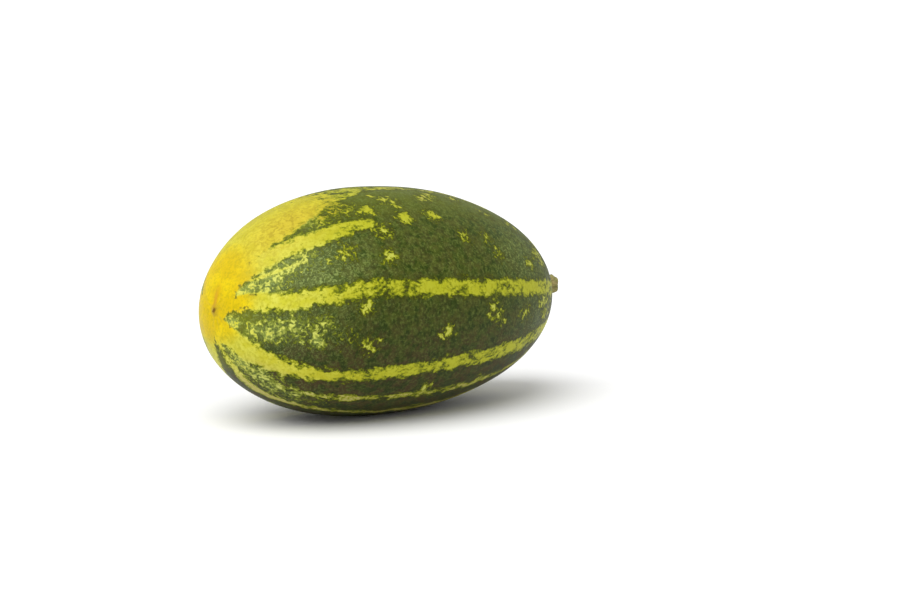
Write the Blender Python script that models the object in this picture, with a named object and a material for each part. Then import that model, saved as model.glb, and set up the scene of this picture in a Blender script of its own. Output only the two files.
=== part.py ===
"""A striped cucumber, as picked: one plump egg-shaped fruit with its cut stalk, lying on its side.

Metres, +Z up. The fruit's length runs along X, with the blossom end at -X and the stalk at +X.
The origin is the middle of the small flat spot on which the fruit rests.
"""

import math

import bmesh
import bpy
from mathutils import Vector

# Driving dimensions of the fruit
DIAMETER = 0.082
RADIUS = DIAMETER / 2
BLOSSOM_HALF = 0.069
STEM_HALF = 0.078
BLOSSOM_CURVE = (2.39, 0.544)
STEM_CURVE = (2.0, 0.5)
REST_DEPTH = 0.0006

# The axis droops towards both poles, and lies with the blossom end a little higher
BLOSSOM_DROOP = 0.0014
STEM_DROOP = 0.0003
AXIS_TILT = math.radians(1.5)

# Three low lobes round the fruit, one for each carpel, and a slow uneven swelling
LOBE_COUNT = 3
LOBE_SHARE = 0.009
LOBE_TURN = math.radians(-150)
SWELL_SHARE = 0.005
SWELL_TURN = math.radians(40)
SWELL_TWIST = 22.0

# Blossom end: a shallow dimple round a small corky button
DIMPLE_DEPTH = 0.0009
DIMPLE_RADIUS = 0.0055
BUTTON_HEIGHT = 0.0007
BUTTON_RADIUS = 0.0019

# Stem end: a shallow basin, with a socket in which the stalk's foot sits
BASIN_DEPTH = 0.0018
BASIN_RADIUS = 0.0085
SOCKET_RADIUS = 0.0043
SOCKET_DEPTH = 0.0016
CLEARANCE = 0.0003

# Stalk: a five-ridged stub that bends upwards to a plain cut
STALK_LENGTH = 0.0095
STALK_FOOT_RADIUS = SOCKET_RADIUS - CLEARANCE
STALK_WAIST_RADIUS = 0.0031
STALK_END_RADIUS = 0.0035
STALK_WAIST_AT = 0.55
STALK_RIDGES = 5
STALK_RIDGE_SHARE = 0.085
STALK_RISE = 0.0016
CUT_HOLLOW = 0.0004

# Mesh fineness
FRUIT_SIDES = 64
FRUIT_RINGS_PER_HALF = 22
FINE_STEPS = (0.3, 0.6, 1.0, 1.5)
STALK_SIDES = 30
STALK_RINGS = 9
REST_SAMPLES = 400

# Colour, roughness and metallic value
SKIN_FINISH = ((0.075, 0.105, 0.030), 0.42, 0.0)
STALK_FINISH = ((0.270, 0.235, 0.110), 0.75, 0.0)


def clear_scene():
    for obj in list(bpy.data.objects):
        bpy.data.objects.remove(obj, do_unlink=True)


def material(name, finish):
    colour, roughness, metallic = finish
    made = bpy.data.materials.new(name)
    made.use_nodes = True
    shader = made.node_tree.nodes["Principled BSDF"]
    shader.inputs["Base Color"].default_value = (*colour, 1.0)
    shader.inputs["Roughness"].default_value = roughness
    shader.inputs["Metallic"].default_value = metallic
    return made


def smooth_step(value):
    held = min(1.0, max(0.0, value))
    return held * held * (3 - 2 * held)


def half_radius(share, curve):
    """The fruit's radius at a share, 0 to 1, of the way from its widest ring to one pole."""
    power, root = curve
    return RADIUS * max(0.0, 1 - share**power) ** root


def half_steps():
    """Quarter-circle angles from a pole to the widest ring, closer together at the pole."""
    step = math.pi / 2 / FRUIT_RINGS_PER_HALF
    even = range(2, FRUIT_RINGS_PER_HALF + 1)
    return [step * number for number in (*FINE_STEPS, *even)]


def blossom_relief(radius):
    """How far the blossom end's surface lies inside its plain curve, at a distance from its axis."""
    dimple = DIMPLE_DEPTH * math.exp(-((radius / DIMPLE_RADIUS) ** 2))
    button = BUTTON_HEIGHT * math.exp(-((radius / BUTTON_RADIUS) ** 4))
    return dimple - button


def basin_relief(radius):
    """How far the stem end's surface lies inside its plain curve, at a distance from its axis."""
    return BASIN_DEPTH * math.exp(-((radius / BASIN_RADIUS) ** 2))


def stem_share_at(radius):
    """The share of the stem half at which its plain curve has this radius."""
    power, root = STEM_CURVE
    return (1 - (radius / RADIUS) ** (1 / root)) ** (1 / power)


def socket_rim_x():
    return STEM_HALF * stem_share_at(SOCKET_RADIUS) - basin_relief(SOCKET_RADIUS)


def socket_floor_x():
    return socket_rim_x() - SOCKET_DEPTH


def fruit_profile():
    """Points (x, distance from the axis) from the blossom pole to the middle of the stalk's socket."""
    points = [(-BLOSSOM_HALF + blossom_relief(0.0), 0.0)]
    for angle in half_steps():
        share = math.cos(angle)
        radius = half_radius(share, BLOSSOM_CURVE)
        points.append((-BLOSSOM_HALF * share + blossom_relief(radius), radius))
    for angle in reversed(half_steps()[:-1]):
        share = math.cos(angle)
        radius = half_radius(share, STEM_CURVE)
        if radius > SOCKET_RADIUS * 1.2:
            points.append((STEM_HALF * share - basin_relief(radius), radius))
    points.append((socket_rim_x(), SOCKET_RADIUS))
    points.append((socket_floor_x(), SOCKET_RADIUS))
    points.append((socket_floor_x(), 0.0))
    return points


def turned(profile, sides):
    """A mesh turned from profile points round the X axis, as a bmesh with closed poles."""
    body = bmesh.new()
    line = [body.verts.new((x, 0.0, radius)) for x, radius in profile]
    edges = [body.edges.new(pair) for pair in zip(line, line[1:])]
    bmesh.ops.spin(
        body,
        geom=line + edges,
        cent=(0, 0, 0),
        axis=(1, 0, 0),
        angle=2 * math.pi,
        steps=sides,
        use_merge=True,
    )
    bmesh.ops.remove_doubles(body, verts=body.verts, dist=1e-6)
    bmesh.ops.recalc_face_normals(body, faces=body.faces)
    return body


def swelling(x, angle):
    """The share by which the fruit stands out of its plain turned shape at a place on it."""
    lobes = LOBE_SHARE * math.cos(LOBE_COUNT * (angle - LOBE_TURN))
    uneven = SWELL_SHARE * math.cos(2 * (angle - SWELL_TURN) + SWELL_TWIST * x)
    return lobes + uneven


def droop_at(x):
    """How far the bent axis lies below its straight line."""
    if x < 0:
        return BLOSSOM_DROOP * (x / BLOSSOM_HALF) ** 2
    return STEM_DROOP * (x / STEM_HALF) ** 2


def tilted(point):
    """Turns a point about Y, which raises the blossom end."""
    turn_cos = math.cos(AXIS_TILT)
    turn_sin = math.sin(AXIS_TILT)
    x = point.x * turn_cos + point.z * turn_sin
    z = point.z * turn_cos - point.x * turn_sin
    return Vector((x, point.y, z))


def grow_fruit(point):
    """Moves a point of the turned fruit to its place on the lobed, bent and tilted one."""
    radius = math.hypot(point.y, point.z)
    angle = math.atan2(point.z, point.y)
    fade = smooth_step((radius - SOCKET_RADIUS) / (0.5 * RADIUS))
    grown = radius * (1 + fade * swelling(point.x, angle))
    z = grown * math.sin(angle) - droop_at(point.x)
    return tilted(Vector((point.x, grown * math.cos(angle), z)))


def resting_shift():
    """The move that brings the fruit's lowest point to the origin, less the flat spot's depth."""
    lowest = None
    for number in range(-REST_SAMPLES, REST_SAMPLES + 1):
        share = 0.5 * number / REST_SAMPLES
        half, curve = (BLOSSOM_HALF, BLOSSOM_CURVE) if share < 0 else (STEM_HALF, STEM_CURVE)
        under = Vector((share * half, 0.0, -half_radius(abs(share), curve)))
        placed = grow_fruit(under)
        if lowest is None or placed.z < lowest.z:
            lowest = placed
    return Vector((-lowest.x, 0.0, -lowest.z - REST_DEPTH))


def flatten_underside(body):
    """Cuts the lowest skin off at z = 0 and closes the cut with one flat face."""
    cut = bmesh.ops.bisect_plane(
        body,
        geom=body.verts[:] + body.edges[:] + body.faces[:],
        dist=1e-7,
        plane_co=(0, 0, 0),
        plane_no=(0, 0, -1),
        clear_outer=True,
    )
    rim = [item for item in cut["geom_cut"] if isinstance(item, bmesh.types.BMEdge)]
    bmesh.ops.edgeloop_fill(body, edges=rim)
    bmesh.ops.recalc_face_normals(body, faces=body.faces)


def finished(name, body, sharp_degrees, made):
    """An object in the scene from a bmesh, smooth but for its real edges."""
    mesh = bpy.data.meshes.new(name)
    body.to_mesh(mesh)
    body.free()
    mesh.shade_smooth()
    mesh.set_sharp_from_angle(angle=math.radians(sharp_degrees))
    mesh.materials.append(made)
    obj = bpy.data.objects.new(name, mesh)
    bpy.context.scene.collection.objects.link(obj)
    return obj


def build_fruit():
    body = turned(fruit_profile(), FRUIT_SIDES)
    shift = resting_shift()
    for vertex in body.verts:
        vertex.co = grow_fruit(vertex.co) + shift
    flatten_underside(body)
    return finished("fruit", body, 50, material("skin", SKIN_FINISH))


def stalk_radius(share):
    """The stub's radius at a share, 0 to 1, of its length: wide foot, waist, slightly wider cut."""
    if share < STALK_WAIST_AT:
        blend = smooth_step(share / STALK_WAIST_AT)
        return STALK_FOOT_RADIUS + (STALK_WAIST_RADIUS - STALK_FOOT_RADIUS) * blend
    blend = smooth_step((share - STALK_WAIST_AT) / (1 - STALK_WAIST_AT))
    return STALK_WAIST_RADIUS + (STALK_END_RADIUS - STALK_WAIST_RADIUS) * blend


def stalk_profile():
    """Points (x, distance from the axis) from the middle of the foot to the middle of the cut."""
    foot = socket_floor_x() + CLEARANCE
    rim = socket_rim_x()
    points = [(foot, 0.0), (foot, STALK_FOOT_RADIUS)]
    for number in range(STALK_RINGS + 1):
        share = number / STALK_RINGS
        points.append((rim + STALK_LENGTH * share, stalk_radius(share)))
    tip = rim + STALK_LENGTH
    points.append((tip - CUT_HOLLOW, 0.0))
    return points


def grow_stalk(point):
    """Moves a point of the turned stub to its place on the ridged and bent one."""
    radius = math.hypot(point.y, point.z)
    angle = math.atan2(point.z, point.y)
    share = max(0.0, (point.x - socket_rim_x()) / STALK_LENGTH)
    ridges = smooth_step(share * 2) * STALK_RIDGE_SHARE * math.cos(STALK_RIDGES * angle)
    grown = radius * (1 + ridges)
    rise = STALK_RISE * share**2 - droop_at(socket_rim_x())
    return tilted(Vector((point.x, grown * math.cos(angle), grown * math.sin(angle) + rise)))


def build_stalk():
    body = turned(stalk_profile(), STALK_SIDES)
    shift = resting_shift()
    for vertex in body.verts:
        vertex.co = grow_stalk(vertex.co) + shift
    return finished("stalk", body, 40, material("stalk", STALK_FINISH))


def main():
    clear_scene()
    build_fruit()
    build_stalk()


main()
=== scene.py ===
"""The looks of the striped cucumber: its mottled skin, blossom scar and cut stalk, on a pale floor.

Metres, +Z up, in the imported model's frame. Places on the skin are given as millimetres along the
fruit from its widest ring (negative towards the blossom end) and degrees round it, where 180 faces
-Y, 90 is the top and 270 the underside.
"""
import math

import bpy
import numpy as np
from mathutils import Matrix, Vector
from mathutils import noise


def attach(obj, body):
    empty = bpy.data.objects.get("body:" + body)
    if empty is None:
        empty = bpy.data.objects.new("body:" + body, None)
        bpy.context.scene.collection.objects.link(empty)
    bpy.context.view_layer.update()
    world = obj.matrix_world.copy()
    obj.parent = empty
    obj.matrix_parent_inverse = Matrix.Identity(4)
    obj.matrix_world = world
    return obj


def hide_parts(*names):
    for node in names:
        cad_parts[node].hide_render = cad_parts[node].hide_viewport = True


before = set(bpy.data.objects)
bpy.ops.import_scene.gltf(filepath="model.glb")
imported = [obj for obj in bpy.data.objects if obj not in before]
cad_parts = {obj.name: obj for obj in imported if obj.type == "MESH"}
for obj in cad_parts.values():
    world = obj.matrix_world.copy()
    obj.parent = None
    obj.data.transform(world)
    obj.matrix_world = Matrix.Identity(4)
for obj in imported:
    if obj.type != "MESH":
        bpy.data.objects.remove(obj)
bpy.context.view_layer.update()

MM = 0.001

# The fruit's shape, as in the CAD model
RADIUS = 0.041
BLOSSOM_HALF = 0.069
STEM_HALF = 0.078
BLOSSOM_CURVE = (2.39, 0.544)
STEM_CURVE = (2.0, 0.5)
REST_DEPTH = 0.0006
BLOSSOM_DROOP = 0.0014
STEM_DROOP = 0.0003
AXIS_TILT = math.radians(1.5)
LOBE_COUNT = 3
LOBE_SHARE = 0.009
LOBE_TURN = math.radians(-150)
SWELL_SHARE = 0.005
SWELL_TURN = math.radians(40)
SWELL_TWIST = 22.0
DIMPLE_DEPTH = 0.0009
DIMPLE_RADIUS = 0.0055
BUTTON_HEIGHT = 0.0007
BUTTON_RADIUS = 0.0019
SCAR_Y = -0.0014
SCAR_Z = 0.0025
BASIN_DEPTH = 0.0018
BASIN_RADIUS = 0.0085
SOCKET_RADIUS = 0.0043
SOCKET_DEPTH = 0.0016

# Mesh fineness of the skin
SKIN_RINGS = 270
SKIN_SIDES = 324

# The camera: the photograph's view of the fruit
VIEW_AZIMUTH = math.radians(-36.5)
VIEW_ELEVATION = math.radians(8.0)
VIEW_DISTANCE = 0.900
PIXEL_SIZE = 0.0003607
IMAGE_WIDTH = 900
IMAGE_HEIGHT = 614
FRUIT_PIXEL = (372.0, 300.5)
SENSOR = 36.0

# How much brighter than their own colour the lights show a surface that faces them
LIGHT_LEVEL = 1.2


def paint(red, green, blue):
    """A surface's linear colour from the screen values, 0 to 255, that it shows in this light."""
    linear = []
    for value in (red, green, blue):
        share = value / 255
        shown = share / 12.92 if share <= 0.04045 else ((share + 0.055) / 1.055) ** 2.4
        linear.append(shown / LIGHT_LEVEL)
    return (*linear, 1.0)


# Colours of the skin, as screen values
GREEN_DARK = paint(46, 62, 8)
GREEN_MIDDLE = paint(74, 84, 24)
# Painted shade: a darker green for the fine pits that the bump sinks
GREEN_PIT_SHADE = paint(36, 44, 4)
GREEN_LIGHT = paint(108, 122, 50)
# A pale grey-green of the bloom, partly a painted sheen
GREEN_BLOOM_AND_SHEEN = paint(102, 116, 62)
GREEN_PALE = paint(148, 164, 90)
GREEN_FRESH = paint(122, 136, 58)
FLECK = paint(206, 214, 108)
FLECK_EDGE = paint(150, 160, 72)
BROWN = paint(92, 74, 42)
OUTLINE = paint(66, 66, 4)
OLIVE_DARK = paint(102, 112, 14)
OLIVE = paint(148, 152, 26)
LEMON = paint(206, 204, 56)
LEMON_PALE = paint(220, 218, 90)
LEMON_DULL = paint(178, 182, 34)
MUSTARD = paint(190, 170, 8)
CREAM = paint(190, 182, 98)
GOLD = paint(216, 186, 0)
GOLD_LIGHT = paint(230, 202, 0)
YELLOW_SHADE = paint(158, 152, 10)
TAN = paint(208, 182, 54)
RUSSET = paint(168, 140, 40)
AMBER = paint(206, 150, 24)
CORK = paint(118, 86, 16)
OLIVE_TIP = paint(142, 146, 34)
OLIVE_BROWN = paint(168, 148, 36)


def smooth_step(value):
    held = np.clip(value, 0.0, 1.0)
    return held * held * (3 - 2 * held)


def half_radius(share, curve):
    power, root = curve
    return RADIUS * np.maximum(0.0, 1 - np.abs(share) ** power) ** root


def plain_radius(share):
    """The plain turned shape's radius at a share from -1, the blossom pole, to 1, the stem pole."""
    return np.where(share < 0, half_radius(share, BLOSSOM_CURVE), half_radius(share, STEM_CURVE))


def plain_place(share):
    return np.where(share < 0, share * BLOSSOM_HALF, share * STEM_HALF)


def scar_distance(radius, angle):
    """How far a place near the blossom pole is from the middle of the scar."""
    return np.hypot(radius * np.cos(angle) - SCAR_Y, radius * np.sin(angle) - SCAR_Z)


def end_relief(share, radius, angle):
    """How far the dimple, button and basin move the ends along the axis."""
    distance = scar_distance(radius, angle)
    dimple = DIMPLE_DEPTH * np.exp(-((distance / DIMPLE_RADIUS) ** 2))
    button = BUTTON_HEIGHT * np.exp(-((distance / BUTTON_RADIUS) ** 4))
    basin = BASIN_DEPTH * np.exp(-((radius / BASIN_RADIUS) ** 2))
    return np.where(share < 0, dimple - button, -basin)


def swelling(x, angle):
    lobes = LOBE_SHARE * np.cos(LOBE_COUNT * (angle - LOBE_TURN))
    uneven = SWELL_SHARE * np.cos(2 * (angle - SWELL_TURN) + SWELL_TWIST * x)
    return lobes + uneven


def droop_at(x):
    return np.where(x < 0, BLOSSOM_DROOP * (x / BLOSSOM_HALF) ** 2, STEM_DROOP * (x / STEM_HALF) ** 2)


def tilted(x, y, z):
    turn_cos = math.cos(AXIS_TILT)
    turn_sin = math.sin(AXIS_TILT)
    return np.stack([x * turn_cos + z * turn_sin, y, z * turn_cos - x * turn_sin], axis=-1)


def placed(share, angle, proud=0.0):
    """Points of the fruit's surface, before it is set down, raised by a relief in metres."""
    radius = plain_radius(share)
    x = plain_place(share) + end_relief(share, radius, angle)
    fade = smooth_step((radius - SOCKET_RADIUS) / (0.5 * RADIUS))
    grown = radius * (1 + fade * swelling(x, angle)) + proud * radius / (radius + 2 * MM)
    across = proud * np.sign(share) * np.abs(share) ** 12
    return tilted(x + across, grown * np.cos(angle), grown * np.sin(angle) - droop_at(x))


def resting_shift():
    share = np.linspace(-0.5, 0.5, 801)
    under = placed(share, np.full_like(share, -math.pi / 2))
    lowest = under[under[:, 2].argmin()]
    return np.array([-lowest[0], 0.0, -lowest[2] - REST_DEPTH])


SHIFT = resting_shift()

# Yellow stripes of the near side: how golden each is, 0 to 1, and the few places that shape it, as
# mm along, degrees round to its middle, width in mm, and how broken it is, 0 to 1
STRIPES = {
    "top": (
        0.5,
        (
            (-66.0, 90.0, 18.0, 0.0),
            (-58.0, 87.0, 26.0, 0.15),
            (-45.0, 90.0, 30.0, 0.3),
            (-30.0, 94.0, 20.0, 0.6),
            (-15.0, 95.0, 10.0, 0.8),
            (72.0, 104.0, 5.0, 0.7),
        ),
    ),
    "upper": (
        0.3,
        (
            (-66.0, 123.0, 7.0, 0.0),
            (-45.0, 128.0, 6.5, 0.45),
            (-25.0, 128.0, 4.5, 0.65),
            (-10.0, 128.0, -4.0, 1.0),
            (45.0, 128.0, -4.0, 1.0),
            (72.0, 127.0, 3.5, 0.8),
        ),
    ),
    "thread": (
        0.0,
        (
            (-66.0, 130.0, 1.0, 0.2),
            (-57.0, 139.0, 1.0, 0.4),
            (-50.0, 140.0, 0.5, 0.8),
            (-42.0, 140.0, -6.0, 1.0),
            (72.0, 140.0, -6.0, 1.0),
        ),
    ),
    "middle": (
        0.25,
        (
            (-66.0, 152.0, 5.5, 0.0),
            (-58.0, 163.0, 6.5, 0.1),
            (-45.0, 165.0, 5.0, 0.6),
            (-30.0, 165.0, 4.5, 0.8),
            (0.0, 167.0, 4.5, 0.65),
            (72.0, 171.0, 4.5, 0.65),
        ),
    ),
    "lower": (
        0.35,
        (
            (-66.0, 219.0, 9.0, 0.1),
            (-56.0, 218.0, 6.5, 0.1),
            (-43.0, 215.0, 4.0, 0.35),
            (-25.0, 211.0, 3.5, 0.6),
            (0.0, 207.0, 4.0, 0.7),
            (72.0, 207.0, 4.5, 0.65),
        ),
    ),
    "low thread": (
        0.0,
        (
            (-50.0, 235.0, 0.5, 0.9),
            (-32.0, 230.0, 1.6, 0.75),
            (-12.0, 227.0, 1.4, 0.85),
            (72.0, 227.0, 1.0, 1.0),
        ),
    ),
    "underside": (
        0.1,
        (
            (-66.0, 256.0, 3.0, 0.25),
            (-56.0, 259.0, 4.0, 0.3),
            (-40.0, 250.0, 2.5, 0.5),
            (0.0, 243.0, 2.5, 0.6),
            (72.0, 243.0, 4.0, 0.6),
        ),
    ),
}

# The stripes of the far side: degrees round to the middle of each, and the places of a typical
# one, its turn counted from there
FAR_MIDDLES = (292.0, 331.0, 10.0, 50.0)
FAR_GOLD = 0.15
FAR_STRIPE = (
    (-64.0, 3.0, 8.5, 0.1),
    (-50.0, 0.0, 6.0, 0.3),
    (-34.0, -2.0, 5.0, 0.6),
    (0.0, -6.0, 5.0, 0.7),
    (72.0, -10.0, 4.5, 0.6),
)

# Every stripe breaks up and closes again along its length
BREAK_SWING = 0.13
BREAK_LENGTH = 27.0
BREAK_FROM = -42.0
BREAK_FADE = 15.0

# Its gold fades towards the stem, from a place in mm along, over a length in mm, by a share
GOLD_FADE_FROM = -28.0
GOLD_FADE_LENGTH = 14.0
GOLD_FADE = 0.6

# Splashes that stand out on the near side: mm along, degrees round, radius in mm, density
SPLASHES = (
    (-59.0, 193.0, 2.0, 1.4),
    (-46.0, 193.0, 2.5, 1.1),
    (-30.0, 174.0, 2.5, 1.2),
    (-29.0, 194.0, 2.0, 1.1),
    (-32.0, 142.0, 2.2, 1.1),
    (-18.0, 149.0, 2.2, 1.1),
    (-16.0, 134.0, 1.4, 1.3),
    (-17.0, 118.0, 2.0, 1.6),
    (-5.0, 127.0, 2.2, 1.7),
    (8.0, 126.0, 2.0, 1.6),
    (-7.0, 113.0, 1.8, 1.3),
    (10.0, 111.0, 1.6, 1.3),
    (-36.0, 116.0, 5.0, 0.88),
    (-26.0, 113.0, 5.5, 0.84),
)

# Seeded splashes in the dark panels: lowest and highest degrees, mm along from which, how many
SPLASH_SEED = 11
SPLASH_PANELS = (
    (57.0, 82.0, -48.0, 13),
    (13.0, 42.0, -48.0, 15),
    (333.0, 357.0, -48.0, 13),
    (291.0, 317.0, -48.0, 12),
    (256.0, 276.0, -48.0, 8),
    (134.0, 158.0, 12.0, 5),
    (178.0, 198.0, 0.0, 5),
    (216.0, 230.0, 0.0, 3),
    (106.0, 121.0, -24.0, 9),
)
SPLASH_TO = 62.0

# Fine flecks where a dark panel reaches an end: the middle of each panel in degrees, and at each
# place mm along, radius in mm and density
PANEL_MIDDLES = (143.0, 187.0, 237.0, 66.0, 28.0, 350.0, 306.0)
END_FLECKS = (
    (-66.0, 2.5, 1.05),
    (-62.0, 4.0, 1.0),
    (-57.0, 5.0, 0.97),
    (-52.0, 5.5, 0.85),
    (-45.0, 5.5, 0.7),
    (-38.0, 5.5, 0.5),
    (62.0, 4.5, 0.95),
)

# Paler places with fine curling lines, on the near side partly a painted sheen: mm along, degrees round,
# radius in mm, strength
BLOOMS_AND_SHEEN = (
    (-47.0, 149.0, 17.0, 1.0),
    (-58.0, 190.0, 13.0, 0.8),
    (-50.0, 25.0, 15.0, 0.8),
    (-54.0, 340.0, 14.0, 0.9),
    (-20.0, 66.0, 16.0, 0.5),
    (48.0, 150.0, 15.0, 0.6),
    (52.0, 75.0, 15.0, 0.6),
    (46.0, 25.0, 16.0, 0.7),
    (54.0, 192.0, 13.0, 0.6),
    (20.0, 340.0, 14.0, 0.5),
)

# The signed distance to a stripe's edge, in mm: its reach, its least value in broken places, and
# how far outside an edge the flecks' middles lie
BAND_REACH = 7.0
LEAST_STEP = -0.2
FLECK_STEP = 0.3
WHOLE_STEP = 6.5
SPARSE_STEP = 5.0
DENSE_STEP = 4.5
SPLASH_SPREAD = 1.25

# The yellow blossom end: its radius in mm, how far it leans to one side, its three lobes, and two
# bumps where the stripes' panels end, with their width in degrees
CAP_RADIUS = 9.5
CAP_LEAN = 3.0
CAP_LEAN_TURN = 60
CAP_LOBE = 1.2
CAP_BUMPS = (139.0, 243.0)
CAP_BUMP = 2.6
CAP_BUMP_WIDTH = 14.0
CAP_STEEPNESS = 2.2
CAP_REACH = 6.0

# Flecks are finer and paler from this place to the blossom end, in mm along, over a length in mm
FINE_FROM = -33.0
FINE_LENGTH = 8.0

# Gold round the blossom pole: how far it reaches in mm, how much it leans, and its soft edge
RIPE_REACH = 26.0
RIPE_LEAN = 7.0
RIPE_TURN = 80.0
RIPE_EDGE = 17.0

# An amber streak above the scar, in degrees and mm, and soft places of netting and of cream, as mm
# along, degrees round, length and width in mm
STREAK_TURN = 98.0
STREAK_WIDTH = 1.2
NETTING = (-44.0, 108.0, 15.0, 9.0)
HIGH_CREAM = (12.0, 104.0, 20.0, 9.0)

# A distance in mm that no mark at either end reaches
FAR_AWAY = 60.0

# Relief: the scales of the dents and ripples, the heights in metres, and the pleats round the scar
# and wrinkles round the stalk, with the radius and width of their rings in metres
DENT_SCALE = 38.0
DENT_HEIGHT = 0.00022
RIPPLE_SCALE = 190.0
RIPPLE_HEIGHT = 0.00004
PLEAT_COUNT = 9
PLEAT_HEIGHT = 0.00011
PLEAT_RADIUS = 0.0038
PLEAT_WIDTH = 0.0026
WRINKLE_COUNT = 10
WRINKLE_HEIGHT = 0.00020
WRINKLE_RADIUS = 0.0080
WRINKLE_WIDTH = 0.0045


def nearest_turn(degrees):
    return (degrees + 180.0) % 360.0 - 180.0


def spot(along, around, radius, place, turn, length, width):
    """A soft round or oval spot, 1 in its middle, its sizes in mm along and across the fruit."""
    apart = np.radians(nearest_turn(around - turn)) * radius
    return np.exp(-(((along - place) / length) ** 2) - (apart / width) ** 2)


def curve_through(along, places, values):
    """A smooth curve through a few values, its slope at each taken from the values beside it."""
    slopes = np.gradient(values, places)
    number = np.clip(np.searchsorted(places, along) - 1, 0, len(places) - 2)
    gap = places[number + 1] - places[number]
    t = np.clip((along - places[number]) / gap, 0.0, 1.0)
    start = values[number] * (1 + 2 * t) + slopes[number] * gap * t
    end = values[number + 1] * (3 - 2 * t) + slopes[number + 1] * gap * (t - 1)
    return start * (1 - t) ** 2 + end * t**2


def all_stripes():
    """Each stripe's share of gold and the array of its places, the far side's made by turning."""
    stripes = [(golden, np.array(places)) for golden, places in STRIPES.values()]
    for middle in FAR_MIDDLES:
        places = np.array(FAR_STRIPE)
        places[:, 1] += middle
        stripes.append((FAR_GOLD, places))
    return stripes


def smaller_beside(chance, place, turn):
    """A few seeded splashes beside a larger one."""
    rows = []
    for beside in range(chance.integers(1, 4)):
        near_place = place + chance.uniform(-4.5, 4.5)
        near_turn = turn + chance.uniform(-5.0, 5.0)
        near_size = chance.uniform(0.7, 1.2)
        rows.append((near_place, near_turn, near_size, chance.uniform(0.95, 1.35)))
    return rows


def all_splashes():
    """The seeded splashes, those that stand out on the near side, and the flecks at the ends."""
    chance = np.random.default_rng(SPLASH_SEED)
    rows = []
    for lowest, highest, start, count in SPLASH_PANELS:
        for number in range(count):
            spread = (SPLASH_TO - start) / count
            place = start + (number + chance.uniform(0.0, 1.0)) * spread
            turn = chance.uniform(lowest, highest)
            size = chance.uniform(0.9, 1.9)
            rows.append((place, turn, size, chance.uniform(1.05, 1.5)))
            rows.extend(smaller_beside(chance, place, turn))
            rows.append((place, turn, 4.0, 0.62))
    for place, turn, size, density in SPLASHES:
        rows.append((place, turn, size, density))
        rows.extend(smaller_beside(chance, place, turn))
        rows.append((place, turn, 4.0, 0.7))
    for middle in PANEL_MIDDLES:
        for place, size, density in END_FLECKS:
            moved = place + chance.uniform(-1.5, 1.5)
            rows.append((moved, middle + chance.uniform(-4.0, 4.0), size, density))
    return rows


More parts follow.
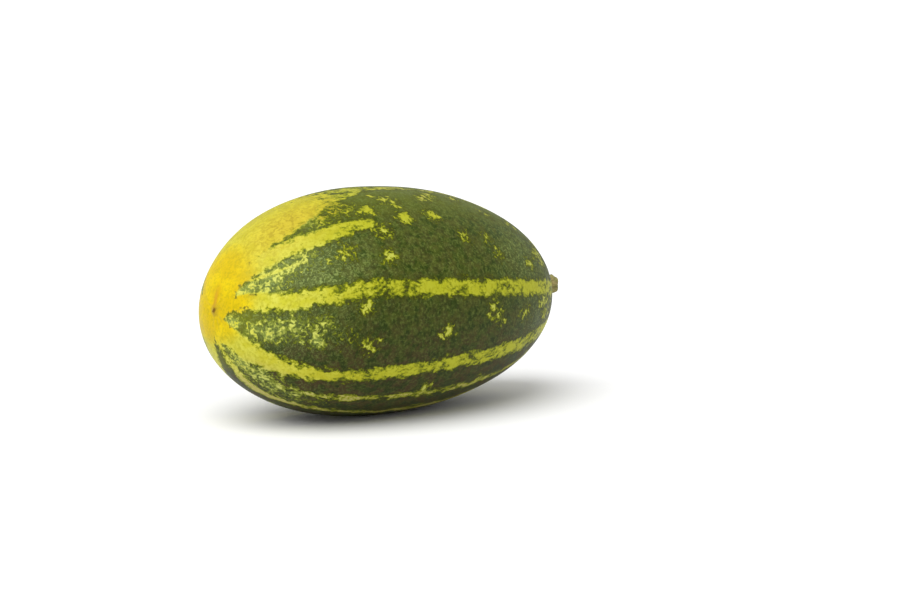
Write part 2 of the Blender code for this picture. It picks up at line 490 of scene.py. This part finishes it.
def skin_fields(share, angle):
    """The smooth fields that the skin's material reads, for points on the plain turned shape."""
    along = plain_place(share) / MM
    around = np.degrees(angle)
    radius = plain_radius(share) / MM
    band = np.full(share.shape, -BAND_REACH)
    broken = np.zeros(share.shape)
    gold = np.zeros(share.shape)
    for number, (golden, places) in enumerate(all_stripes()):
        middle = curve_through(along, places[:, 0], places[:, 1])
        width = curve_through(along, places[:, 0], places[:, 2])
        breaks = curve_through(along, places[:, 0], places[:, 3])
        swing = np.sin(2 * math.pi * along / BREAK_LENGTH + 2 * number)
        breaks = breaks + BREAK_SWING * swing * smooth_step((along - BREAK_FROM) / BREAK_FADE)
        this_band = width / 2 - np.abs(np.radians(nearest_turn(around - middle))) * radius
        nearer = this_band > band
        band = np.where(nearer, this_band, band)
        broken = np.where(nearer, np.clip(breaks, 0.0, 1.0), broken)
        faded = GOLD_FADE * smooth_step((along - GOLD_FADE_FROM) / GOLD_FADE_LENGTH)
        gold = np.where(nearer, golden * (1 - faded), gold)
    cap = CAP_RADIUS + CAP_LEAN * np.cos(np.radians(around - CAP_LEAN_TURN))
    cap = cap + CAP_LOBE * np.cos(np.radians(3 * around))
    for turn in CAP_BUMPS:
        cap = cap + CAP_BUMP * np.exp(-((nearest_turn(around - turn) / CAP_BUMP_WIDTH) ** 2))
    cap_inside = np.clip(CAP_STEEPNESS * (cap - radius), -BAND_REACH, CAP_REACH)
    cap_band = np.where(share < 0, cap_inside, -BAND_REACH)
    capped = cap_band > band
    band = np.maximum(band, cap_band)
    broken = np.where(capped, 0.0, broken)
    flecks = np.zeros(share.shape)
    for place, turn, size, density in all_splashes():
        spread = SPLASH_SPREAD * size
        this_spot = spot(along, around, radius, place, turn, spread, spread)
        flecks = np.maximum(flecks, density * this_spot)
    highest = LEAST_STEP + WHOLE_STEP * (1 - broken) ** 2
    band = np.clip(band, -BAND_REACH, highest)
    sparse = -FLECK_STEP - SPARSE_STEP * (1 - flecks) ** 2
    dense = DENSE_STEP * (flecks - 1.0) - FLECK_STEP
    fleck_band = np.where(flecks < 1.0, sparse, dense)
    flecked = np.clip(flecks, 0.0, 1.0) * smooth_step((1.0 - band) / 1.5)
    towards_end = smooth_step((FINE_FROM - along) / FINE_LENGTH)
    fleck_share = flecked * towards_end
    paler = 0.9 * towards_end + 0.5 * (1 - towards_end) * smooth_step((around - 126.0) / 10.0)

    ripe_reach = RIPE_REACH + RIPE_LEAN * np.cos(np.radians(around - RIPE_TURN))
    ripe = smooth_step((ripe_reach - radius) / RIPE_EDGE)
    gold = np.where(share < 0, np.maximum(gold, ripe), gold) * (1 - 0.9 * fleck_share)
    # Paler places of bloom, on the near side partly a painted sheen
    bloom_and_sheen = np.zeros(share.shape)
    for place, turn, size, strength in BLOOMS_AND_SHEEN:
        this_bloom_and_sheen = strength * spot(along, around, radius, place, turn, size, 0.9 * size)
        bloom_and_sheen = np.maximum(bloom_and_sheen, this_bloom_and_sheen)
    beside_streak = nearest_turn(around - STREAK_TURN) * np.radians(radius)
    streak = np.exp(-((beside_streak / STREAK_WIDTH) ** 2))
    streak = streak * smooth_step((radius - 2.5) / 1.5) * smooth_step((12.5 - radius) / 6.0)
    height = np.sin(angle)
    low_cream = smooth_step((-0.60 - height) / 0.15) * smooth_step((along + 66.0) / 12.0)
    high_cream = 0.9 * spot(along, around, radius, *HIGH_CREAM)
    scar = scar_distance(radius * MM, angle) / MM
    return {
        "band": band,
        "fleck_band": fleck_band,
        "fleck_share": fleck_share,
        "pale": flecked * paler * smooth_step((along + 66.0) / 11.0),
        "gold": gold,
        "bloom_and_sheen": bloom_and_sheen,
        "dull": smooth_step((along + 60.0) / 34.0) * (1 - 0.6 * fleck_share),
        "cream": np.maximum(low_cream, high_cream),
        "netting": spot(along, around, radius, *NETTING),
        "streak": np.where(share < 0, streak, 0.0),
        "low": smooth_step((0.1 - height) / 0.8),
        "tip": np.where(share < 0, 0.62 * smooth_step((22.0 - radius) / 7.0), 0.0),
        # painted shade: tone makes the green darker towards the underside and lighter on top
        "tone": 0.64 + 0.45 * smooth_step((height + 0.62) / 1.2),
        "high": smooth_step((height - 0.72) / 0.25),
        "scar": np.where(share < 0, scar, FAR_AWAY),
        "stem": np.where(share > 0, radius, FAR_AWAY),
    }


def skin_relief(share, angle):
    """Low relief in metres: slow dents, pleats round the blossom scar, wrinkles round the stalk."""
    radius = plain_radius(share)
    x = plain_place(share)
    y = radius * np.cos(angle)
    z = radius * np.sin(angle)
    spots = [Vector(spot_at) for spot_at in zip(x, y, z)]
    dents = np.array([noise.noise(spot_at * DENT_SCALE) for spot_at in spots])
    ripples = np.array([noise.noise(spot_at * RIPPLE_SCALE) for spot_at in spots])
    relief = DENT_HEIGHT * dents + RIPPLE_HEIGHT * ripples
    distance = scar_distance(radius, angle)
    turn = np.arctan2(z - SCAR_Z, y - SCAR_Y)
    pleated = np.exp(-(((distance - PLEAT_RADIUS) / PLEAT_WIDTH) ** 2))
    scar = np.where(share < 0, pleated, 0.0)
    relief = relief + scar * PLEAT_HEIGHT * np.cos(PLEAT_COUNT * turn + 2.0 * np.sin(3 * turn))
    wrinkled = np.exp(-(((radius - WRINKLE_RADIUS) / WRINKLE_WIDTH) ** 2))
    stem = np.where(share > 0, wrinkled, 0.0)
    wave = np.cos(WRINKLE_COUNT * angle + 1.5 * np.sin(2 * angle))
    return relief + stem * WRINKLE_HEIGHT * wave


def share_steps():
    """Shares from the blossom pole to the rim of the stalk's socket, about evenly spaced on the skin."""
    fine = np.sin(np.linspace(-math.pi / 2, math.pi / 2, 6001))
    radius = plain_radius(fine)
    x = plain_place(fine)
    length = np.concatenate([[0.0], np.cumsum(np.hypot(np.diff(x), np.diff(radius)))])
    last = np.nonzero((fine > 0) & (radius > SOCKET_RADIUS))[0][-1]
    wanted = np.linspace(0.0, length[last], SKIN_RINGS)
    return np.interp(wanted, length, fine)


def skin_mesh():
    shares = share_steps()[1:]
    angles = np.arange(SKIN_SIDES) * 2 * math.pi / SKIN_SIDES
    share, angle = (grid.ravel() for grid in np.meshgrid(shares, angles, indexing="ij"))
    share = np.concatenate([[-1.0], share])
    angle = np.concatenate([[0.0], angle])
    points = placed(share, angle, skin_relief(share, angle)) + SHIFT
    rings = len(shares)
    rim = points[-SKIN_SIDES:]
    inward = tilted(np.array([-SOCKET_DEPTH]), np.zeros(1), np.zeros(1))[0]
    floor_ring = rim + inward
    middle = floor_ring.mean(axis=0)
    points = np.concatenate([points, floor_ring, [middle]])
    points[:, 2] = np.maximum(points[:, 2], 0.0)

    def corner(ring, side):
        return 1 + ring * SKIN_SIDES + side % SKIN_SIDES

    faces = [(0, corner(0, side + 1), corner(0, side)) for side in range(SKIN_SIDES)]
    for ring in range(rings):
        for side in range(SKIN_SIDES):
            faces.append(
                (
                    corner(ring, side),
                    corner(ring, side + 1),
                    corner(ring + 1, side + 1),
                    corner(ring + 1, side),
                )
            )
    last = len(points) - 1
    faces += [(corner(rings, side), corner(rings, side + 1), last) for side in range(SKIN_SIDES)]
    mesh = bpy.data.meshes.new("fruit skin")
    mesh.from_pydata(points.tolist(), [], faces)
    mesh.update()
    mesh.shade_smooth()
    extra = len(points) - len(share)
    for name, values in skin_fields(share, angle).items():
        full = np.concatenate([values, np.full(extra, values[-1])]).astype(np.float32)
        attribute = mesh.attributes.new(name, "FLOAT", "POINT")
        attribute.data.foreach_set("value", full)
    return mesh


class Nodes:
    """Short calls that add a material's nodes and link them."""

    def __init__(self, material):
        self.tree = material.node_tree
        self.tree.nodes.clear()

    def put(self, kind, values=None, **settings):
        made = self.tree.nodes.new(kind)
        for name, value in settings.items():
            setattr(made, name, value)
        for name, value in (values or {}).items():
            if isinstance(value, bpy.types.NodeSocket):
                self.tree.links.new(value, made.inputs[name])
            else:
                made.inputs[name].default_value = value
        return made

    def field(self, name):
        return self.put("ShaderNodeAttribute", attribute_name=name).outputs["Fac"]

    def sum(self, operation, *values, clamp=False):
        made = self.put("ShaderNodeMath", operation=operation, use_clamp=clamp)
        for number, value in enumerate(values):
            if isinstance(value, bpy.types.NodeSocket):
                self.tree.links.new(value, made.inputs[number])
            else:
                made.inputs[number].default_value = value
        return made.outputs[0]

    def span(self, value, low, high, to_low=0.0, to_high=1.0):
        """value from low to high, turned smoothly into to_low to to_high."""
        made = self.put("ShaderNodeMapRange", interpolation_type="SMOOTHSTEP")
        for name, given in (
            ("Value", value),
            ("From Min", low),
            ("From Max", high),
            ("To Min", to_low),
            ("To Max", to_high),
        ):
            if isinstance(given, bpy.types.NodeSocket):
                self.tree.links.new(given, made.inputs[name])
            else:
                made.inputs[name].default_value = given
        return made.outputs["Result"]

    def noise(self, place, scale, detail=2.0, roughness=0.5, warp=0.0):
        values = {
            "Vector": place,
            "Scale": scale,
            "Detail": detail,
            "Roughness": roughness,
            "Distortion": warp,
        }
        return self.put("ShaderNodeTexNoise", values).outputs["Fac"]

    def blend(self, share, first, second, kind="MIX"):
        made = self.put("ShaderNodeMix", data_type="RGBA", blend_type=kind)
        for number, given in ((0, share), (6, first), (7, second)):
            if isinstance(given, bpy.types.NodeSocket):
                self.tree.links.new(given, made.inputs[number])
            else:
                made.inputs[number].default_value = given
        return made.outputs[2]


def new_material(name):
    made = bpy.data.materials.new(name)
    made.use_nodes = True
    return made, Nodes(made)


def skin_material():
    made, nodes = new_material("cucumber skin")
    place = nodes.put("ShaderNodeTexCoord").outputs["Object"]
    lengthwise = nodes.put(
        "ShaderNodeMapping", {"Vector": place, "Scale": (0.6, 1.0, 1.0)}
    ).outputs["Vector"]
    gold = nodes.field("gold")
    bloom_and_sheen = nodes.field("bloom_and_sheen")
    netting = nodes.field("netting")
    low = nodes.field("low")
    stem = nodes.field("stem")

    wander = nodes.noise(lengthwise, 150.0, 2.0)
    ragged = nodes.noise(lengthwise, 430.0, 3.0, 0.7, 0.35)
    grit = nodes.noise(place, 950.0, 2.0, 0.6)
    fine = nodes.noise(place, 2200.0, 2.0, 0.6)
    patches = nodes.noise(place, 240.0, 3.0, 0.6)
    clouds = nodes.noise(place, 120.0, 2.0)
    worms = nodes.noise(place, 460.0, 1.0, 0.5, 1.8)

    # How far inside a yellow stripe, in mm, with its edge roughened at three sizes
    edge = nodes.sum("MULTIPLY_ADD", wander, 2.4, -1.2)
    edge = nodes.sum("ADD", edge, nodes.sum("MULTIPLY_ADD", ragged, 7.6, -3.8))
    edge = nodes.sum("ADD", edge, nodes.sum("MULTIPLY_ADD", grit, 2.8, -1.4))
    inside = nodes.sum("ADD", nodes.field("band"), edge)
    strokes = nodes.noise(place, 620.0, 2.0, 0.5, 0.9)
    speckle = nodes.sum("MULTIPLY_ADD", strokes, 9.0, -4.5)
    speckle = nodes.sum("ADD", speckle, nodes.sum("MULTIPLY_ADD", ragged, 3.0, -1.5))
    speckle = nodes.sum("ADD", speckle, nodes.sum("MULTIPLY_ADD", grit, 3.0, -1.5))
    speckle = nodes.sum("ADD", nodes.field("fleck_band"), speckle)
    inside = nodes.sum("MAXIMUM", inside, nodes.sum("MULTIPLY", speckle, 0.75))
    inside = nodes.sum("MULTIPLY", inside, nodes.sum("MULTIPLY_ADD", netting, -0.5, 1.0))

    # Green: dark and middle patches, brown low down, painted shade towards the underside and in the fine
    # pits, pale bloom with fine curling lines, partly a painted sheen
    blots = nodes.noise(place, 400.0, 2.0, 0.6)
    green = nodes.blend(nodes.span(blots, 0.36, 0.62), GREEN_DARK, GREEN_MIDDLE)
    browned = nodes.span(patches, 0.42, 0.60, 0.0, 0.9)
    browned = nodes.sum("MULTIPLY", browned, nodes.sum("MULTIPLY_ADD", low, 0.75, 0.25))
    # Painted shade: the green darkens in patches towards the underside
    painted_shade_low = nodes.sum("MULTIPLY", nodes.span(wander, 0.42, 0.60, 0.0, 0.7), low)
    green = nodes.blend(painted_shade_low, green, GREEN_DARK)
    green = nodes.blend(browned, green, BROWN)
    fleck_share = nodes.field("fleck_share")
    fresh = nodes.sum("POWER", fleck_share, 3.0)
    green = nodes.blend(nodes.sum("MULTIPLY", fresh, 0.6), green, GREEN_FRESH)
    green = nodes.blend(nodes.sum("MULTIPLY", nodes.field("high"), 0.6), green, OLIVE_DARK)
    # Pale bloom, partly a painted sheen on the near side
    green = nodes.blend(nodes.sum("MULTIPLY", bloom_and_sheen, 0.50), green, GREEN_BLOOM_AND_SHEEN)
    # Painted shade in the fine pits, where the bump also sinks the surface
    green = nodes.blend(nodes.span(fine, 0.28, 0.50, 0.50, 0.0), green, GREEN_PIT_SHADE)
    green = nodes.blend(nodes.field("tip"), green, OLIVE_TIP)
    green = nodes.blend(nodes.span(grit, 0.48, 0.74, 0.0, 0.55), green, GREEN_LIGHT)
    off_line = nodes.sum("ABSOLUTE", nodes.sum("SUBTRACT", worms, 0.5))
    line = nodes.span(off_line, 0.09, 0.0)
    line = nodes.sum("MULTIPLY", line, nodes.span(grit, 0.36, 0.54))
    lined = nodes.sum("MAXIMUM", bloom_and_sheen, nodes.sum("MULTIPLY", fleck_share, 1.1))
    line = nodes.sum("MULTIPLY", line, nodes.sum("MULTIPLY_ADD", lined, 0.78, 0.12))
    green = nodes.blend(line, green, GREEN_PALE)
    # Painted shade: the green's value follows tone, darker towards the underside and lighter on top
    green_with_painted_shade = nodes.put("ShaderNodeHueSaturation", {"Color": green, "Value": nodes.field("tone")})
    green = green_with_painted_shade.outputs["Color"]

    # Yellow: pale lemon, mustard where riper, cream on the thin lines below, gold at the end
    lemon = nodes.blend(nodes.span(patches, 0.35, 0.65), LEMON, LEMON_PALE)
    mustard = nodes.blend(nodes.span(patches, 0.40, 0.60), MUSTARD, LEMON)
    golden = nodes.blend(nodes.span(clouds, 0.40, 0.60), GOLD, GOLD_LIGHT)
    lemon = nodes.blend(nodes.sum("MULTIPLY", nodes.field("dull"), 0.85), lemon, LEMON_DULL)
    yellow = nodes.blend(nodes.field("cream"), lemon, CREAM)
    yellow = nodes.blend(nodes.field("pale"), yellow, FLECK)
    ripened = nodes.sum("MULTIPLY_ADD", nodes.sum("SUBTRACT", patches, 0.5), 0.7, gold)
    yellow = nodes.blend(nodes.span(ripened, 0.0, 1.0), yellow, mustard)
    yellow = nodes.blend(nodes.span(ripened, 0.35, 1.05), yellow, golden)
    yellow = nodes.blend(nodes.span(grit, 0.34, 0.56, 0.40, 0.0), yellow, YELLOW_SHADE)
    yellow = nodes.blend(nodes.sum("MULTIPLY", netting, 0.60), yellow, TAN)
    dots = nodes.sum("MULTIPLY", nodes.span(strokes, 0.48, 0.62, 0.0, 0.75), netting)
    yellow = nodes.blend(dots, yellow, OLIVE_BROWN)
    yellow = nodes.blend(nodes.sum("MULTIPLY", nodes.field("streak"), 0.75), yellow, AMBER)

    halo = nodes.blend(nodes.span(gold, 0.3, 0.8, 0.0, 0.7), OLIVE, RUSSET)
    halo = nodes.blend(fleck_share, halo, FLECK_EDGE)
    edge_green = nodes.blend(fresh, OLIVE_DARK, GREEN_FRESH)
    outlined = nodes.sum("MULTIPLY_ADD", fleck_share, -0.6, 0.6)
    shares = (
        (-1.9, -1.1, OUTLINE, outlined),
        (-1.1, -0.5, edge_green, 1.0),
        (-0.5, 0.0, halo, 1.0),
        (0.0, 0.7, yellow, 1.0),
    )
    colour = green
    for start, end, next_colour, most in shares:
        colour = nodes.blend(nodes.span(inside, start, end, 0.0, most), colour, next_colour)

    # The corky scar at the blossom end, and the yellowed rim of the basin round the stalk
    scar = nodes.sum("ADD", nodes.field("scar"), nodes.sum("MULTIPLY_ADD", ragged, 4.0, -2.0))
    colour = nodes.blend(nodes.span(scar, 3.4, 1.2, 0.0, 0.6), colour, RUSSET)
    colour = nodes.blend(nodes.span(scar, 1.3, 0.5), colour, CORK)
    rim = nodes.sum("ADD", stem, nodes.sum("MULTIPLY_ADD", ragged, 6.0, -3.0))
    colour = nodes.blend(nodes.span(rim, 8.5, 5.5, 0.0, 0.7), colour, OLIVE)

    height = nodes.sum("MULTIPLY", grit, 0.5)
    height = nodes.sum("MULTIPLY_ADD", fine, 0.25, height)
    height = nodes.sum("MULTIPLY_ADD", line, 0.4, height)
    bump = nodes.put(
        "ShaderNodeBump", {"Strength": 0.35, "Distance": 0.00012, "Height": height}
    ).outputs["Normal"]
    rough = nodes.span(patches, 0.3, 0.7, 0.40, 0.52)
    shader = nodes.put(
        "ShaderNodeBsdfPrincipled",
        {"Base Color": colour, "Roughness": rough, "Normal": bump},
    )
    shader.inputs["Specular IOR Level"].default_value = 0.10
    nodes.put("ShaderNodeOutputMaterial", {"Surface": shader.outputs["BSDF"]})
    return made


# The stalk, as in the CAD model but finer
STALK_LENGTH = 0.0095
STALK_FOOT_RADIUS = 0.0040
STALK_WAIST_RADIUS = 0.0031
STALK_END_RADIUS = 0.0035
STALK_WAIST_AT = 0.55
STALK_RIDGES = 5
STALK_RIDGE_SHARE = 0.085
STALK_RISE = 0.0016
STALK_BARK = paint(132, 134, 66)
STALK_BARK_PALE = paint(170, 152, 96)
STALK_FIBRE = paint(96, 84, 46)
STALK_PITH = paint(206, 190, 140)
STALK_PITH_DARK = paint(168, 146, 96)
STALK_SIDES = 160
STALK_RINGS = 90
CUT_RINGS = 22
CUT_HOLLOW = 0.0004


def socket_rim_x():
    power, root = STEM_CURVE
    share = (1 - (SOCKET_RADIUS / RADIUS) ** (1 / root)) ** (1 / power)
    return STEM_HALF * share - BASIN_DEPTH * math.exp(-((SOCKET_RADIUS / BASIN_RADIUS) ** 2))


def stalk_radius(share):
    below = smooth_step(share / STALK_WAIST_AT)
    above = smooth_step((share - STALK_WAIST_AT) / (1 - STALK_WAIST_AT))
    foot = STALK_FOOT_RADIUS + (STALK_WAIST_RADIUS - STALK_FOOT_RADIUS) * below
    return foot + (STALK_END_RADIUS - STALK_WAIST_RADIUS) * above


def stalk_mesh():
    """The ridged stub with fine fibres, and its cut end with a rim and a hollow pith."""
    foot_share = -SOCKET_DEPTH * 0.8 / STALK_LENGTH
    side_shares = np.linspace(foot_share, 1.0, STALK_RINGS)
    angles = np.arange(STALK_SIDES) * 2 * math.pi / STALK_SIDES
    rows = []
    tones = []
    for share in side_shares:
        held = max(0.0, share)
        ridges = smooth_step(held * 2) * STALK_RIDGE_SHARE * np.cos(STALK_RIDGES * angles)
        fibres = 0.012 * np.cos(31 * angles + 3 * np.sin(6 * held + angles))
        fibres = fibres + 0.008 * np.cos(53 * angles - 4 * np.sin(9 * held))
        radius = stalk_radius(held) * (1 + ridges + fibres * smooth_step(held * 4))
        rows.append((share, radius))
        tones.append(0.0)
    rim_radius = rows[-1][1]
    for number in range(1, CUT_RINGS):
        inner = 1 - number / CUT_RINGS
        sink = CUT_HOLLOW * (1 - inner**2) * 0.8
        rays = 0.00008 * np.cos(10 * angles) * smooth_step(inner * 3)
        rows.append((1.0 - (sink + rays) / STALK_LENGTH, rim_radius * inner))
        tones.append(1.0 - 0.5 * inner**6)
    points = []
    tone = []
    for (share, radius), shade in zip(rows, tones):
        rise = STALK_RISE * max(0.0, float(np.mean(share))) ** 2
        x = socket_rim_x() + STALK_LENGTH * share * np.ones(STALK_SIDES)
        z = radius * np.sin(angles) + rise - float(droop_at(np.array(socket_rim_x())))
        points.append(tilted(x, radius * np.cos(angles), z))
        tone.append(np.full(STALK_SIDES, shade))
    points = np.concatenate(points)
    middle = points[-STALK_SIDES:].mean(axis=0)
    foot_middle = points[:STALK_SIDES].mean(axis=0)
    points = np.concatenate([points, [middle], [foot_middle]]) + SHIFT
    tone = np.concatenate([*tone, [1.0], [0.0]])
    count = len(rows)

    def corner(ring, side):
        return ring * STALK_SIDES + side % STALK_SIDES

    faces = []
    for ring in range(count - 1):
        for side in range(STALK_SIDES):
            faces.append(
                (
                    corner(ring, side),
                    corner(ring, side + 1),
                    corner(ring + 1, side + 1),
                    corner(ring + 1, side),
                )
            )
    tip = len(points) - 2
    foot = len(points) - 1
    for side in range(STALK_SIDES):
        faces.append((corner(count - 1, side), corner(count - 1, side + 1), tip))
        faces.append((corner(0, side + 1), corner(0, side), foot))
    mesh = bpy.data.meshes.new("stalk")
    mesh.from_pydata(points.tolist(), [], faces)
    mesh.update()
    mesh.shade_smooth()
    mesh.set_sharp_from_angle(angle=math.radians(50))
    attribute = mesh.attributes.new("cut", "FLOAT", "POINT")
    attribute.data.foreach_set("value", tone.astype(np.float32))
    return mesh


def stalk_material():
    made, nodes = new_material("cucumber stalk")
    place = nodes.put("ShaderNodeTexCoord").outputs["Object"]
    cut = nodes.field("cut")
    stretched = nodes.put(
        "ShaderNodeMapping", {"Vector": place, "Scale": (0.22, 1.0, 1.0)}
    ).outputs["Vector"]
    fibres = nodes.noise(stretched, 1500.0, 3.0, 0.6)
    blotches = nodes.noise(place, 330.0, 3.0, 0.6)
    bark = nodes.blend(nodes.span(blotches, 0.35, 0.65), STALK_BARK, STALK_BARK_PALE)
    bark = nodes.blend(nodes.span(fibres, 0.40, 0.65, 0.0, 0.6), bark, STALK_FIBRE)
    pith = nodes.blend(nodes.noise(place, 900.0), STALK_PITH, STALK_PITH_DARK)
    colour = nodes.blend(cut, bark, pith)
    bump = nodes.put(
        "ShaderNodeBump", {"Strength": 0.6, "Distance": 0.00015, "Height": fibres}
    ).outputs["Normal"]
    rough = nodes.span(fibres, 0.3, 0.7, 0.66, 0.84)
    shader = nodes.put(
        "ShaderNodeBsdfPrincipled",
        {"Base Color": colour, "Roughness": rough, "Normal": bump},
    )
    nodes.put("ShaderNodeOutputMaterial", {"Surface": shader.outputs["BSDF"]})
    return made


def shown(name, mesh, material):
    mesh.materials.append(material)
    piece = bpy.data.objects.new(name, mesh)
    bpy.context.scene.collection.objects.link(piece)
    return piece


def make_fruit():
    skin = shown("fruit_skin", skin_mesh(), skin_material())
    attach(skin, "root")
    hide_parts("fruit")


def make_stalk():
    stub = shown("stalk_stub", stalk_mesh(), stalk_material())
    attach(stub, "root")
    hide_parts("stalk")


# Stage and lights
FLOOR_HALF = 30.0
FLOOR_COLOUR = (0.92, 0.92, 0.92, 1.0)
WORLD_STRENGTH = 0.62
LIGHT_AZIMUTH = -72.0
LIGHT_ELEVATION = 56.0
LIGHT_SPREAD = 60.0
LIGHT_STRENGTH = 2.7


def make_floor():
    mesh = bpy.data.meshes.new("floor")
    signs = ((-1, -1), (1, -1), (1, 1), (-1, 1))
    corners = [(x * FLOOR_HALF, y * FLOOR_HALF, 0.0) for x, y in signs]
    mesh.from_pydata(corners, [], [(0, 1, 2, 3)])
    made, nodes = new_material("floor")
    shader = nodes.put(
        "ShaderNodeBsdfPrincipled", {"Base Color": FLOOR_COLOUR, "Roughness": 0.9}
    )
    nodes.put("ShaderNodeOutputMaterial", {"Surface": shader.outputs["BSDF"]})
    floor = shown("floor", mesh, made)


def make_world():
    world = bpy.data.worlds.new("studio")
    world.use_nodes = True
    background = world.node_tree.nodes["Background"]
    background.inputs["Color"].default_value = (1.0, 1.0, 1.0, 1.0)
    background.inputs["Strength"].default_value = WORLD_STRENGTH
    bpy.context.scene.world = world


def direction(azimuth, elevation):
    flat = math.cos(elevation)
    return Vector((math.sin(azimuth) * flat, -math.cos(azimuth) * flat, math.sin(elevation)))


def make_light():
    """One soft light from the upper left of the photograph's view."""
    light = bpy.data.lights.new("main light", "SUN")
    light.angle = math.radians(LIGHT_SPREAD)
    light.energy = LIGHT_STRENGTH
    lamp = bpy.data.objects.new("main light", light)
    towards = direction(math.radians(LIGHT_AZIMUTH), math.radians(LIGHT_ELEVATION))
    lamp.location = towards
    lamp.rotation_mode = "QUATERNION"
    lamp.rotation_quaternion = towards.to_track_quat("Z", "Y")
    bpy.context.scene.collection.objects.link(lamp)


def make_camera():
    """The photograph's view: the fruit's widest ring sits at FRUIT_PIXEL, seen from VIEW_DISTANCE."""
    data = bpy.data.cameras.new("camera")
    data.sensor_width = SENSOR
    focal_pixels = VIEW_DISTANCE / PIXEL_SIZE
    data.lens = focal_pixels * SENSOR / IMAGE_WIDTH
    camera = bpy.data.objects.new("camera", data)
    back = direction(VIEW_AZIMUTH, VIEW_ELEVATION)
    right = Vector((math.cos(VIEW_AZIMUTH), math.sin(VIEW_AZIMUTH), 0.0))
    up = back.cross(right)
    middle = Vector(SHIFT)
    aim = middle + right * ((IMAGE_WIDTH / 2 - FRUIT_PIXEL[0]) * PIXEL_SIZE)
    aim += up * ((FRUIT_PIXEL[1] - IMAGE_HEIGHT / 2) * PIXEL_SIZE)
    camera.location = middle + back * VIEW_DISTANCE
    camera.rotation_mode = "QUATERNION"
    camera.rotation_quaternion = (camera.location - aim).to_track_quat("Z", "Y")
    bpy.context.scene.collection.objects.link(camera)
    bpy.context.scene.camera = camera


bpy.context.scene.view_settings.view_transform = "Standard"
make_camera()
make_fruit()
make_stalk()
make_floor()
make_world()
make_light()
